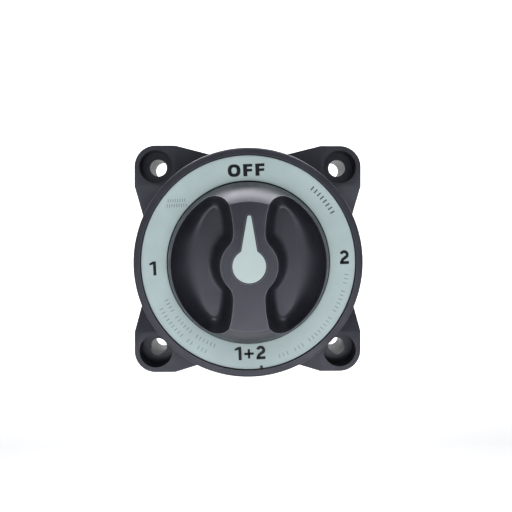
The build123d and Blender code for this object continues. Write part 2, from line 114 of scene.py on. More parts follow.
HOLE = frame["record"]["mounts"][0]["dims"]
HOLE_HALF = HOLE["spacing_x_mm"] / 2
HOLE_R = HOLE["hole_r_mm"]
COUNTERBORE = (9.7, 9.5)         # radius and depth
PAD = 24.0                       # width of an ear's flat, measured along the case's side
SLOPE_IN = math.radians(12.7)
SLOPE_BACK = math.radians(17.0)
WALL = 3.0
PORT_HALF = 13.5                 # half the width of a cable port, and the radius of its arch
PORT_TOP = 19.0
PORT_FLANGE = 1.5                # how far a blank's inner flange laps round its port
BASE_FRONT = 31.0
BARRIER_HALF = 1.5
SHAFT_HOLE_R = 4.55
QUARTERS = (0, 90, 180, 270)
STUD_ANGLES = {"common_stud": 90, "stud_1": 225, "stud_2": 315}
STUD_CIRCLE = 34.0
STUD_R = 6.0
STUD_PITCH = 1.75
STUD_GROOVE = (10.6, 11.8)       # from and to
STUD_GROOVE_R = 5.0
THREAD_DEPTH = 0.95
NUT_FLAT = 9.5                   # half the width across flats
NUT_FACE_R = 9.1
NUT_CHAMFER = 1.6
NUT_BORE_R = 6.02
LOCK_WASHER = (10.3, 6.2)        # outer and inner radius
FLAT_WASHER = (12.0, 6.3)


# ---- outlines -------------------------------------------------------------------------

def arc(centre, radius, start, end, step):
    """Points on an arc, angles in degrees, both ends included."""
    count = max(1, math.ceil(abs(end - start) / step))
    points = []
    for k in range(count + 1):
        a = math.radians(start + (end - start) * k / count)
        points.append((centre[0] + radius * math.cos(a), centre[1] + radius * math.sin(a)))
    return points


def rounded(corners, steps=5):
    """Closed outline from (x, y, corner radius), with each corner turned into an arc."""
    points = []
    for k, (x, y, r) in enumerate(corners):
        if r <= 0:
            points.append((x, y))
            continue
        here = Vector((x, y))
        back = (Vector(corners[k - 1][:2]) - here).normalized()
        ahead = (Vector(corners[(k + 1) % len(corners)][:2]) - here).normalized()
        half = back.angle(ahead) / 2
        middle = here + (back + ahead).normalized() * (r / math.sin(half))
        start = bearing(middle, here + back * (r / math.tan(half)))
        end = bearing(middle, here + ahead * (r / math.tan(half)))
        sweep = (end - start + 180) % 360 - 180
        points += arc(middle, r, start, start + sweep, abs(sweep) / steps)
    return points


def meet(c1, r1, c2, r2, side):
    """Where two circles cross; side chooses which of the two points."""
    d = Vector(c2) - Vector(c1)
    along = (r1 * r1 - r2 * r2 + d.length_squared) / (2 * d.length)
    off = math.sqrt(max(0.0, r1 * r1 - along * along))
    unit = d.normalized()
    return Vector(c1) + unit * along + Vector((-unit.y, unit.x)) * off * side


def bearing(centre, point):
    return math.degrees(math.atan2(point[1] - centre[1], point[0] - centre[0]))


def circle(radius, step, centre=(0, 0)):
    return arc(centre, radius, 0, 360 - step, step)


def bar(x0, x1, y0, y1):
    return [(x0, y0), (x1, y0), (x1, y1), (x0, y1)]


# ---- meshes ---------------------------------------------------------------------------

def mesh_object(name, vertices, faces):
    mesh = bpy.data.meshes.new(name)
    mesh.from_pydata([to_frame(*v) for v in vertices], [], faces)
    obj = bpy.data.objects.new(name, mesh)
    bpy.context.scene.collection.objects.link(obj)
    tidy(obj)
    return obj


def tidy(obj):
    """Merge doubled points and make every face look outwards."""
    work = bmesh.new()
    work.from_mesh(obj.data)
    bmesh.ops.remove_doubles(work, verts=work.verts, dist=0.002 * MM)
    bmesh.ops.recalc_face_normals(work, faces=work.faces)
    work.to_mesh(obj.data)
    work.free()


def lathe(name, profile, segments):
    """Solid of revolution about the switch axis from a closed outline of (radius, z)."""
    vertices, faces = [], []
    count = len(profile)
    for k in range(segments):
        a = 2 * math.pi * k / segments
        vertices += [(r * math.cos(a), r * math.sin(a), z) for r, z in profile]
    for k in range(segments):
        n = (k + 1) % segments
        for j in range(count):
            i = (j + 1) % count
            if profile[j][0] > 0 or profile[i][0] > 0:
                faces.append((k * count + j, n * count + j, n * count + i, k * count + i))
    return mesh_object(name, vertices, faces)


def stack(name, loops):
    """Closed solid through loops of points that all have the same count."""
    count = len(loops[0])
    vertices = [p for loop in loops for p in loop]
    faces = [tuple(range(count))]
    for k in range(len(loops) - 1):
        for j in range(count):
            i = (j + 1) % count
            faces.append((k * count + j, k * count + i, (k + 1) * count + i, (k + 1) * count + j))
    last = (len(loops) - 1) * count
    faces.append(tuple(range(last, last + count)))
    return mesh_object(name, vertices, faces)


def band(name, outer, inner, low, high):
    """Square-edged ring about the switch axis."""
    return lathe(name, [(inner, low), (outer, low), (outer, high), (inner, high)], 240)


def prism(name, outline, z_low, z_high):
    return stack(name, [[(x, y, z) for x, y in outline] for z in (z_low, z_high)])


def apply_modifiers(obj):
    graph = bpy.context.evaluated_depsgraph_get()
    mesh = bpy.data.meshes.new_from_object(obj.evaluated_get(graph))
    obj.modifiers.clear()
    obj.data = mesh


def combine(target, tool, operation):
    modifier = target.modifiers.new("combine", "BOOLEAN")
    modifier.object = tool
    modifier.operation = operation
    modifier.solver = "EXACT"
    apply_modifiers(target)
    bpy.data.objects.remove(tool)
    tidy(target)


def cut(target, tool):
    combine(target, tool, "DIFFERENCE")


def join(target, tool):
    combine(target, tool, "UNION")


def common(target, tool):
    combine(target, tool, "INTERSECT")


def turn(obj, angle):
    """Turn a piece's mesh about the switch axis, anticlockwise as the dial is read."""
    obj.data.transform(Matrix.Rotation(-math.radians(angle), 4, "Y"))
    return obj


def shift(obj, x, y):
    obj.data.transform(Matrix.Translation(to_frame(x, y, 0.0)))
    return obj


def soften(obj, width, segments, angle=30):
    """Round every edge sharper than angle by width millimetres."""
    bevel = obj.modifiers.new("edges", "BEVEL")
    bevel.width = width * MM
    bevel.segments = segments
    bevel.limit_method = "ANGLE"
    bevel.angle_limit = math.radians(angle)
    bevel.use_clamp_overlap = True
    apply_modifiers(obj)
    tidy(obj)


def finish_piece(obj, body, material, stands_for):
    """Give a piece its material, smooth shading and body, and hide the CAD nodes that it replaces."""
    obj.data.materials.clear()
    obj.data.materials.append(material)
    obj.data.shade_smooth()
    obj.data.set_sharp_from_angle(angle=math.radians(35))
    weighted = obj.modifiers.new("normals", "WEIGHTED_NORMAL")
    weighted.keep_sharp = True
    weighted.weight = 100
    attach(obj, body)
    if stands_for:
        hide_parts(*stands_for)


# ---- materials ------------------------------------------------------------------------

def node(tree, kind, values=None, **settings):
    made = tree.nodes.new(kind)
    for key, value in settings.items():
        setattr(made, key, value)
    for key, value in (values or {}).items():
        made.inputs[key].default_value = value
    return made


def spread(tree, source, values):
    """Map a value from one range to another, 0 to 1 unless values says otherwise."""
    made = node(tree, "ShaderNodeMapRange", values)
    tree.links.new(source, made.inputs["Value"])
    return made.outputs["Result"]


def times(tree, first, second):
    made = node(tree, "ShaderNodeMath", operation="MULTIPLY")
    tree.links.new(first, made.inputs[0])
    tree.links.new(second, made.inputs[1])
    return made.outputs["Value"]


def blend_colours(tree, factor, first, second):
    """Mix of two colours; each is a colour or another node's output."""
    made = node(tree, "ShaderNodeMix", data_type="RGBA")
    for key, colour in (("A", first), ("B", second)):
        if isinstance(colour, bpy.types.NodeSocket):
            tree.links.new(colour, made.inputs[key])
        else:
            made.inputs[key].default_value = list(colour) + [1]
    tree.links.new(factor, made.inputs["Factor"])
    return made.outputs["Result"]


def worn_and_highlit_edges(tree, edge_mm, edge_end, wear_and_highlight):
    """How far the surface turns within edge_mm, as the wear of an edge and, where the wear is set high, its
    painted highlight.
    """
    edge = node(tree, "ShaderNodeBevel", {"Radius": edge_mm * MM}, samples=6)
    form = node(tree, "ShaderNodeNewGeometry")
    dot = node(tree, "ShaderNodeVectorMath", operation="DOT_PRODUCT")
    tree.links.new(edge.outputs["Normal"], dot.inputs[0])
    tree.links.new(form.outputs["Normal"], dot.inputs[1])
    return spread(tree, dot.outputs["Value"], {"From Min": 0.997, "From Max": edge_end, "To Max": wear_and_highlight})


def finish_material(name, colour, roughness, metallic=0.0, specular=0.5, grain_mm=0.3, grain_depth=0.012,
                    mottle=0.12, mottle_mm=14.0, gloss_change=0.08, wear_and_highlight=0.25, wear_and_highlight_colour=None,
                    tint=(1, 1, 1), edge_mm=0.45, edge_end=0.86):
    """Procedural finish: grain in bump, soft change of colour and gloss, lighter edges that are rubbed wear
    and, where set high, a painted highlight, and painted shade that darkens corners and recesses.
    """
    made = bpy.data.materials.new(name)
    made.use_nodes = True
    tree = made.node_tree
    tree.nodes.clear()
    link = tree.links.new
    out = node(tree, "ShaderNodeOutputMaterial")
    shader = node(tree, "ShaderNodeBsdfPrincipled",
                  {"Metallic": metallic, "Specular IOR Level": specular, "Specular Tint": (*tint, 1)})
    place = node(tree, "ShaderNodeTexCoord")
    grain = node(tree, "ShaderNodeTexNoise", {"Scale": 1 / (grain_mm * MM), "Detail": 3.0, "Roughness": 0.6})
    cloud = node(tree, "ShaderNodeTexNoise",
                 {"Scale": 1 / (mottle_mm * MM), "Detail": 4.0, "Roughness": 0.55})
    for texture in (grain, cloud):
        link(place.outputs["Object"], texture.inputs["Vector"])

    low = [c * (1 - mottle) for c in colour]
    high = [min(1, c * (1 + mottle)) for c in colour]
    patches = spread(tree, cloud.outputs["Fac"], {"From Min": 0.35, "From Max": 0.65})
    shade = blend_colours(tree, patches, low, high)

    shelter = node(tree, "ShaderNodeAmbientOcclusion", {"Distance": 2.5 * MM}, samples=6)
    exposed = spread(tree, shelter.outputs["AO"], {"From Min": 0.35, "From Max": 0.85})
    # Lighter edges: rubbed wear on most finishes, and a painted highlight on the knob and the cover, whose
    # edge wear is set high.
    patchy = times(tree, worn_and_highlit_edges(tree, edge_mm, edge_end, wear_and_highlight), grain.outputs["Fac"])
    wear_and_highlight_tone = wear_and_highlight_colour or [min(1, c * 2.2 + 0.02) for c in colour]
    with_wear_and_highlight = blend_colours(tree, times(tree, patchy, exposed), shade, wear_and_highlight_tone)
    # Painted shade: the colour darkens to a third where the ambient occlusion finds corners and recesses.
    painted_corner_shade = [c * 0.35 for c in colour]
    link(blend_colours(tree, exposed, painted_corner_shade, with_wear_and_highlight), shader.inputs["Base Color"])

    gloss = spread(tree, cloud.outputs["Fac"], {"From Min": 0.3, "From Max": 0.7,
                                                "To Min": roughness - gloss_change,
                                                "To Max": roughness + gloss_change})
    link(gloss, shader.inputs["Roughness"])

    bump = node(tree, "ShaderNodeBump", {"Strength": 1.0, "Distance": grain_depth * MM})
    link(grain.outputs["Fac"], bump.inputs["Height"])
    link(bump.outputs["Normal"], shader.inputs["Normal"])
    link(shader.outputs["BSDF"], out.inputs["Surface"])
    return made


CHARCOAL = (0.015, 0.0155, 0.021)
COOL = (0.86, 0.87, 1.0)         # tint of the dark plastics' reflections
case_plastic = finish_material("case_plastic", CHARCOAL, 0.46, grain_mm=0.5, grain_depth=0.03, tint=COOL)
# The cover's lighter rounded edge is a painted highlight.
cover_plastic = finish_material("cover_plastic", CHARCOAL, 0.42, grain_mm=0.45, grain_depth=0.026, tint=COOL,
                                wear_and_highlight=1.2, wear_and_highlight_colour=(0.1, 0.1, 0.12), edge_mm=0.9, edge_end=0.9)
# The knob's lighter edges are a painted highlight along its edges and the scoops' rims.
knob_plastic = finish_material("knob_plastic", CHARCOAL, 0.38, specular=0.68, grain_mm=0.45,
                               grain_depth=0.03, tint=COOL, wear_and_highlight=1.6, wear_and_highlight_colour=(0.16, 0.16, 0.19),
                               edge_mm=0.7, edge_end=0.93)
base_plastic = finish_material("base_plastic", (0.022, 0.021, 0.02), 0.5, grain_mm=0.5, grain_depth=0.012)
label_film = finish_material("label_film", (0.385, 0.475, 0.48), 0.5, specular=0.35, grain_mm=0.5,
                             grain_depth=0.004, mottle=0.04, wear_and_highlight=0.1)
pointer_plastic = finish_material("pointer_plastic", (0.43, 0.52, 0.515), 0.45, grain_mm=0.6,
                                  grain_depth=0.004, mottle=0.02, wear_and_highlight=0.15)
INK = {"grain_mm": 0.2, "grain_depth": 0.003, "wear_and_highlight": 0.05}
print_ink = finish_material("print_ink", (0.004, 0.006, 0.008), 0.5, specular=0.2, **INK)
dark_tick_ink = finish_material("dark_tick_ink", (0.05, 0.065, 0.065), 0.5, **INK)
faint_ink = finish_material("faint_ink", (0.2, 0.26, 0.26), 0.5, **INK)
steel = finish_material("stainless_steel", (0.42, 0.42, 0.43), 0.34, metallic=1.0, grain_mm=0.4,
                        grain_depth=0.005, mottle=0.06, wear_and_highlight=0.4)
spring_steel = finish_material("spring_steel", (0.4, 0.4, 0.42), 0.28, metallic=1.0, grain_mm=0.2,
                               grain_depth=0.003, wear_and_highlight=0.3)
ball_steel = finish_material("ball_steel", (0.72, 0.72, 0.73), 0.12, metallic=1.0, gloss_change=0.03,
                             grain_mm=0.8, grain_depth=0.001, mottle=0.03, wear_and_highlight=0.1)
copper = finish_material("copper", (0.78, 0.38, 0.24), 0.33, metallic=1.0, grain_mm=0.6, grain_depth=0.006,
                         mottle=0.14, wear_and_highlight=0.3)
tin_plate = finish_material("tin_plate", (0.46, 0.44, 0.4), 0.36, metallic=1.0, grain_mm=0.5,
                            grain_depth=0.005, mottle=0.07, wear_and_highlight=0.35, wear_and_highlight_colour=(0.75, 0.5, 0.35))
bush_brass = finish_material("bush_brass", (0.74, 0.56, 0.27), 0.3, metallic=1.0, grain_mm=0.4,
                             grain_depth=0.004, mottle=0.08, wear_and_highlight=0.3)
rubber = finish_material("rubber", (0.02, 0.02, 0.02), 0.7, specular=0.3, grain_mm=0.4, grain_depth=0.01,
                         wear_and_highlight=0.1)
nylon = finish_material("nylon", (0.55, 0.52, 0.44), 0.4, grain_mm=0.5, grain_depth=0.005, mottle=0.04,
                        wear_and_highlight=0.1)

SLOT_FINISH = {
    "case_plastic": case_plastic, "cover_plastic": cover_plastic, "knob_plastic": knob_plastic,
    "base_plastic": base_plastic, "carrier_plastic": nylon, "label_film": label_film,
    "pointer_plastic": pointer_plastic, "seal_rubber": rubber, "steel": steel, "polished_steel": ball_steel,
    "spring_steel": spring_steel, "copper": copper, "stud_plating": tin_plate, "bush_brass": bush_brass,
}
for part in frame["record"]["subparts"]:
    shown = frame["nodes"][part["node"]]
    shown.data.materials.clear()
    shown.data.materials.append(SLOT_FINISH[part["material_slot"]])


# ---- front cover and label ------------------------------------------------------------

def front_cover():
    seat = LABEL_R + LABEL_GAP
    bush_hole, hub_r, hub_rear = 8.06, 11, 41.8
    lip, lip_inner, lip_rear = BARREL_BORE - 0.3, BARREL_BORE - 0.3 - 1.3, COVER_REAR - 2.5
    well_outer, web_rear, floor_rear = WELL_R + WALL, LABEL_BACK - 4, WELL_Z - WALL
    profile = rounded([
        (BEZEL_R, COVER_REAR, 0.5), (BEZEL_R, BEZEL_Z, 1.3), (seat, BEZEL_Z, 0.35), (seat, LABEL_BACK, 0),
        (WELL_R, LABEL_BACK, 0.15), (WELL_R, WELL_Z, 0.6), (bush_hole, WELL_Z, 0), (bush_hole, hub_rear, 0),
        (hub_r, hub_rear, 0.3), (hub_r, floor_rear, 0.5), (well_outer, floor_rear, 0.5),
        (well_outer, web_rear, 0.3), (lip_inner, web_rear, 0.3), (lip_inner, lip_rear, 0.2),
        (lip, lip_rear, 0.2), (lip, COVER_REAR, 0)])
    cover = lathe("bezel_cover", profile, 288)
    finish_piece(cover, "case", cover_plastic, ["front_cover"])


def dial_label():
    profile = rounded([(LABEL_R, LABEL_BACK, 0), (LABEL_R, LABEL_Z, 0.15), (LABEL_INNER_R, LABEL_Z, 0.12),
                       (LABEL_INNER_R, LABEL_BACK, 0)])
    label = lathe("label_ring", profile, 288)
    deep, half, below, above, notch_angle = 1.6, 0.8, 50, 56, 277
    outline = rounded([(-deep, -half, 0.5), (deep, -half, 0), (deep, half, 0), (-deep, half, 0.5)])
    cut(label, turn(shift(prism("notch", outline, below, above), LABEL_R, 0), notch_angle))
    finish_piece(label, "case", label_film, ["dial_label"])


# ---- knob and pointer -----------------------------------------------------------------

def scoop_edge():
    """Edge of the right-hand scoop: (x, y), the way out of the scoop there, and how far it sweeps out."""
    side = (NECK + BAR_SIDE_R, NECK_Y)
    blend = meet((0, 0), BOSS_R + BLEND_R, side, BAR_SIDE_R - BLEND_R, 1)
    corner = meet((0, 0), SCOOP_R - SCOOP_CORNER_R, side, BAR_SIDE_R - SCOOP_CORNER_R, 1)
    on_boss = bearing((0, 0), blend)
    on_side = bearing(side, blend) % 360
    to_corner = bearing(side, corner) % 360
    on_rim = bearing((0, 0), corner)
    runs = [((0, 0), BOSS_R, 0, on_boss, -1, 3), (blend, BLEND_R, on_boss + 180, on_side, 1, 5),
            (side, BAR_SIDE_R, on_side, to_corner, 1, 1), (corner, SCOOP_CORNER_R, to_corner, on_rim, 1, 5),
            ((0, 0), SCOOP_R, on_rim, 0, 1, 2)]
    half = []
    for centre, radius, start, end, outward, step in runs:
        for x, y in arc(centre, radius, start, end, step):
            way = Vector((x - centre[0], y - centre[1])).normalized() * outward
            sweep = 0
            if radius == SCOOP_R:
                sweep = SCOOP_SWEEP * math.cos(math.pi / 2 * bearing((0, 0), (x, y)) / on_rim) ** 1.5
            if not half or math.dist((x, y), half[-1][:2]) > 0.05:
                half.append((x, y, way.x, way.y, sweep))
    lower = [(x, -y, u, -v, sweep) for x, y, u, v, sweep in reversed(half)]
    return half + lower[1:-1]


def scoop_cutter(side):
    """Cutter for one finger scoop: drafted walls running into a rounded bottom."""
    top, wall_steps, bowl_steps = KNOB_TOP + 0.5, 5, 24
    across, down = SCOOP_BOWL
    start = math.atan(math.tan(SCOOP_DRAFT) * down / across)
    wall_end = SCOOP_FLOOR + down * (1 - math.sin(start))
    levels = []                      # inset from the edge, share of the sweep, height
    for k in range(wall_steps + 1):
        z = top + (wall_end - top) * k / wall_steps
        levels.append(((top - z) * math.tan(SCOOP_DRAFT), 0, z))
    wall_inset = levels[-1][0]
    for k in range(1, bowl_steps + 1):
        t = start + (math.pi / 2 - start) * k / bowl_steps
        bend = math.cos(start) - math.cos(t)
        levels.append((wall_inset + across * bend, bend, wall_end - down * (math.sin(t) - math.sin(start))))
    loops = []
    for inset, share, z in levels:
        loops.append([(side * (x - u * (inset + share * sweep)), y - v * (inset + share * sweep), z)
                      for x, y, u, v, sweep in scoop_edge()])
    return stack("scoop", loops)


def pointer_outline(grow=0.0):
    """Teardrop: a disc and a tapered pointer with a rounded tip."""
    slope = math.degrees(POINTER_SLOPE)
    tip = (0, POINTER_LENGTH - POINTER_TIP_R)
    reach = tip[1] * math.sin(POINTER_SLOPE) + POINTER_TIP_R + grow
    disc_r = POINTER_DISC_R + grow
    shoulder = slope + math.degrees(math.acos(reach / disc_r))
    outline = arc(tip, POINTER_TIP_R + grow, slope, 180 - slope, 12)
    return outline + arc((0, 0), disc_r, 180 - shoulder, 360 + shoulder, 3)


def knob():
    """Domed knob, hollow under its middle for the bush's flange."""
    low, high = (KNOB_R, KNOB_SHOULDER), (KNOB_FLAT_R, KNOB_TOP)
    chord = math.dist(low, high)
    radius = (chord / 2) ** 2 / (2 * KNOB_BULGE) + KNOB_BULGE / 2
    centre = meet(low, radius, high, radius, 1)
    side = arc(centre, radius, bearing(centre, low), bearing(centre, high), 1.2)
    hollow_r, hollow_top = radius_of("shaft_bush") + 0.4, span("shaft_bush")[1].z + 0.3
    under = [(0, hollow_top, 0), (hollow_r, hollow_top, 0), (hollow_r, KNOB_BACK, 0)]
    profile = rounded(under + [(KNOB_R, KNOB_BACK, 0.6), low + (0,)]) + side[1:] + [(0, KNOB_TOP)]
    body = lathe("knob_body", profile, 288)
    for hand in (1, -1):
        cut(body, scoop_cutter(hand))
    recess_floor = span("pointer_insert")[0].z
    cut(body, prism("recess", pointer_outline(POINTER_GAP), recess_floor, KNOB_TOP + 1))
    soften(body, 0.32, 3, 32)
    finish_piece(body, "knob", knob_plastic, ["knob"])


def pointer():
    low, high = span("pointer_insert")
    insert = prism("pointer_plate", pointer_outline(), low.z, high.z)
    soften(insert, 0.14, 2, 40)
    finish_piece(insert, "knob", pointer_plastic, ["pointer_insert"])


# ---- outer case -----------------------------------------------------------------------

def ear_outline():
    crease = CASE_HALF - PAD
    middle = CASE_HALF - crease * math.tan(SLOPE_IN)
    corner_r = CASE_HALF - HOLE_HALF
    corners = []
    for c, s in ((1, 0), (0, 1), (-1, 0), (0, -1)):
        for x, y, r in ((crease, CASE_HALF, 0), (0, middle, 0), (-crease, CASE_HALF, 0),
                        (-CASE_HALF, CASE_HALF, corner_r)):
            corners.append((x * c - y * s, x * s + y * c, r))
    return rounded(corners, 16)


def valley():
    """Cutter for the webs that fall back from the ears' flats to the middle of two sides."""
    crease = CASE_HALF - PAD
    fall = crease * math.tan(SLOPE_BACK)
    over = EAR_Z + 9
    section = [(crease, EAR_Z), (0, EAR_Z - fall), (-crease, EAR_Z), (-crease, over), (crease, over)]
    return stack("valley", [[(x, y, z) for x, z in section] for y in (-CASE_HALF - 2, CASE_HALF + 2)])


def arch(name, grow, near, far):
    """Arched block lying along x, for a cable port at the right-hand side."""
    half, foot = PORT_HALF + grow, -3
    outline = [(-half, foot), (half, foot)] + arc((0, PORT_TOP - PORT_HALF), half, 0, 180, 4)
    return stack(name, [[(x, y, z) for y, z in outline] for x in (near, far)])


def outer_case():
    case = prism("case_shell", ear_outline(), 0, EAR_Z)
    cut(case, valley())
    cut(case, turn(valley(), 90))
    join(case, prism("barrel", circle(BARREL_R, 1.5), 0, CASE_TOP))
    cut(case, prism("bore", circle(BARREL_BORE, 1.5), -1, CASE_TOP + 1))
    join(case, band("ledge", BARREL_BORE + 1, LEDGE_R, LEDGE_Z - LEDGE_DEPTH, LEDGE_Z))
    wide, deep = COUNTERBORE
    for sx in (-1, 1):
        for sy in (-1, 1):
            spot = (sx * HOLE_HALF, sy * HOLE_HALF)
            cut(case, prism("hole", circle(HOLE_R, 4, spot), -1, EAR_Z + 1))
            cut(case, prism("counterbore", circle(wide, 3, spot), EAR_Z - deep, EAR_Z + 1))
    for angle in QUARTERS:
        cut(case, turn(arch("port", 0, BARREL_BORE - 2, BARREL_R + 4), angle))
    soften(case, 0.8, 3, 32)
    finish_piece(case, "case", case_plastic, ["outer_case"])


# ---- printing on the label ------------------------------------------------------------

PRINT = (LABEL_Z, LABEL_Z + 0.05)
PRINT_TILT = 2.5                 # the label sits turned a little anticlockwise


def stroke(points, width):
    """Outline of a pen stroke of even width along a line of points."""
    left, right = [], []
    for k, p in enumerate(points):
        here = Vector(p)
        before = (here - Vector(points[k - 1])).normalized() if k > 0 else None
        after = (Vector(points[k + 1]) - here).normalized() if k + 1 < len(points) else None
        way = ((before or after) + (after or before)).normalized()
        side = Vector((-way.y, way.x))
        reach = width / 2
        if before and after:
            reach /= max(0.4, side.dot(Vector((-before.y, before.x))))
        left.append(tuple(here + side * reach))
        right.append(tuple(here - side * reach))
    return left + right[::-1]


def oval_band(wide, tall, pen, power=2.4):
    """Two strokes that make the left and right halves of a letter O."""
    halves, steps = [], 32
    for sign in (1, -1):
        outer, inner = [], []
        for k in range(steps + 1):
            t = -math.pi / 2 + math.pi * k / steps
            c = abs(math.cos(t)) ** (2 / power)
            d = math.copysign(abs(math.sin(t)) ** (2 / power), math.sin(t))
            outer.append((sign * wide / 2 * c, tall / 2 * d))
            inner.append((sign * (wide / 2 - pen) * c, (tall / 2 - pen * 0.82) * d))
        halves.append(outer + inner[::-1])
    return halves


def letter_f(x):
    stem, top = x + 2.2, 3.35
    return [bar(x, stem, -top, top), bar(stem, x + 5.1, 1.8, top), bar(stem, x + 4.9, -0.8, 0.65)]


def figure_one(x, tall, pen, flag):
    top, left = tall / 2, x - pen / 2
    return [bar(left, x + pen / 2, -top, top),
            [(left, top), (left, top - flag * 1.5), (left - 2.0, top - flag * 1.9),
             (left - 2.0, top - flag * 1.0)]]


def figure_two(x, wide, tall, pen):
    r = wide / 2 - pen / 2
    top = tall / 2 - pen / 2
    line = arc((x, top - r), r, 165, -35, 8)
    line += [(x - r * 0.55, -tall / 2 + pen * 1.6), (x - r - pen * 0.05, -tall / 2 + pen * 0.5)]
    return [stroke(line, pen), bar(x - wide / 2, x + wide / 2, -tall / 2, -tall / 2 + pen)]


def place_print(outlines, radius, angle, tilt=PRINT_TILT):
    """Move outlines drawn about (0, 0) to a place on the label, and turn them by tilt."""
    a, t = math.radians(angle), math.radians(tilt)
    cx, cy = radius * math.cos(a), radius * math.sin(a)
    return [[(cx + x * math.cos(t) - y * math.sin(t), cy + x * math.sin(t) + y * math.cos(t))
             for x, y in shape] for shape in outlines]


def ticks(groups, radius, start, end, tall, wide):
    """A row of plain ticks round an arc, in groups with a gap between them."""
    total = sum(groups) + len(groups) - 1
    shapes, place = [], 0
    for count in groups:
        for _ in range(count):
            a = start + (end - start) * (place + 0.5) / total
            mark = bar(-wide / 2, wide / 2, -tall / 2, tall / 2)
            shapes += place_print([mark], radius, a, a - 90)
            place += 1
        place += 1
    return shapes


def print_on_label(name, shapes, material):
    parts = [prism(f"{name}_{k}", shape, *PRINT) for k, shape in enumerate(shapes)]
    work = bmesh.new()
    for part in parts:
        work.from_mesh(part.data)
        bpy.data.objects.remove(part)
    mesh = bpy.data.meshes.new(name)
    work.to_mesh(mesh)
    work.free()
    obj = bpy.data.objects.new(name, mesh)
    bpy.context.scene.collection.objects.link(obj)
    finish_piece(obj, "case", material, ())


def lettering():
    """The four position names, and plain ticks where small print would be."""
    off = [[(x - 7.1, y) for x, y in half] for half in oval_band(7.0, 6.9, 2.05)]
    off += letter_f(-2.1) + letter_f(4.6)
    both = figure_one(-4.95, 7.4, 1.7, 1.1) + [bar(-2.6, 2.6, -1.05, 0.25), bar(-0.65, 0.65, -3.0, 2.2)]
    both += figure_two(6.55, 5.0, 7.5, 1.6)
    shapes = place_print(off, 50.8, 91.0) + place_print(both, 50.1, 270.2)
    shapes += place_print(figure_one(0.7, 7.7, 1.6, 1.1), 52.4, 183.6)
    shapes += place_print(figure_two(0, 5.0, 7.7, 1.6), 53.0, 3.0)
    print_on_label("dial_print", shapes, print_ink)
    print_on_label("dial_ticks_bold", ticks([8], 53.9, 50.5, 29.5, 2.7, 0.75), dark_tick_ink)
    small = (2.2, 0.5)
    faint = ticks([3, 3, 8, 6, 3], 54.6, -73.0, -6.0, *small)
    faint += ticks([4, 6, 6], 49.6, 203.5, 249.0, *small) + ticks([9, 2, 3], 54.4, 207.0, 245.5, *small)
    pitch, half = 1.3, 0.9
    for row, count in ((1.35, 8), (-1.35, 9)):
        marks = []
        for k in range(count):
            x = pitch * (k - count / 2)
            marks.append(bar(x + 0.3, x + 0.8, row - half, row + half))
        faint += place_print(marks, 51.2, 140.4)
    print_on_label("dial_ticks_faint", faint, faint_ink)


# ---- rear: base, barrier, blanks and terminals ----------------------------------------

def stud_spot(stud):
    angle = math.radians(STUD_ANGLES[stud])
    return STUD_CIRCLE * math.cos(angle), STUD_CIRCLE * math.sin(angle)


def base_and_barrier():
    low, high = span("contact_base")[0].z, BASE_FRONT
    outer, floor = radius_of("contact_base"), low + 1.5
    plate = lathe("base_plate", rounded([
        (0, low, 0), (outer, low, 0.5), (outer, high, 0.5), (SHAFT_HOLE_R, high, 0.2),
        (SHAFT_HOLE_R, floor, 0), (0, floor, 0)]), 192)
    for stud in STUD_ANGLES:
        cut(plate, prism("stud_hole", circle(STUD_R, 6, stud_spot(stud)), low - 1, high + 1))
    finish_piece(plate, "case", base_plastic, ["contact_base"])

    box = span("terminal_barrier")
    reach, foot, half = box[1].x, box[0].y, BARRIER_HALF
    outline = [(-reach, -half), (-half, -half), (-half, foot), (half, foot), (half, -half),
               (reach, -half), (reach, half), (-reach, half)]
    blades = prism("barrier_blades", outline, box[0].z, box[1].z)
    soften(blades, 0.5, 3)
    finish_piece(blades, "case", base_plastic, ["terminal_barrier"])


def port_blanks():
    """A blank in each port: an arched plug with a sunk panel, and a flange inside the barrel."""
    inside, outside, foot = BARREL_BORE - 6, BARREL_R + 4, 0.3
    for angle in QUARTERS:
        blank = arch("port_blank", -0.15, inside, outside)
        common(blank, band("plug_band", BARREL_R - 0.3, BARREL_BORE, foot, PORT_TOP))
        panel = arch("panel", -2.6, BARREL_R - 1.2, outside)
        cut(panel, prism("foot", bar(BARREL_BORE - 9, BARREL_R + 9, -20, 20), -5, 3.0))
        cut(blank, panel)
        flange = arch("blank_flange", PORT_FLANGE, inside, outside)
        common(flange, band("flange_band", BARREL_BORE, BARREL_BORE - 1.3, foot, PORT_TOP + PORT_FLANGE))
        join(blank, flange)
        soften(blank, 0.3, 2)
        turn(blank, angle)
        finish_piece(blank, "case", case_plastic, ["port_blanks"] if angle == 0 else ())


def threaded(name, radius, low, high, plain_from):
    """Stud with a chamfered end, a cut thread up to plain_from and a plain shank beyond it."""
    rows, segments, fade_length, chamfer = 240, 72, 1.5, 1.0
    loops = []
    for row in range(rows + 1):
        z = low + (high - low) * row / rows
        fade = min(1.0, max(0.0, (plain_from - z) / fade_length))
        loop = []
        for k in range(segments):
            phase = (z / STUD_PITCH - k / segments) % 1.0
            groove = min(1.0, max(0.0, 1.25 - abs(phase - 0.5) * 3.1))
            r = min(radius - THREAD_DEPTH * groove * fade, radius - chamfer + (z - low))
            r = min(r, STUD_GROOVE_R) if STUD_GROOVE[0] < z < STUD_GROOVE[1] else r
            a = 2 * math.pi * k / segments
            loop.append((r * math.cos(a), r * math.sin(a), z))
        loops.append(loop)
    return stack(name, loops)


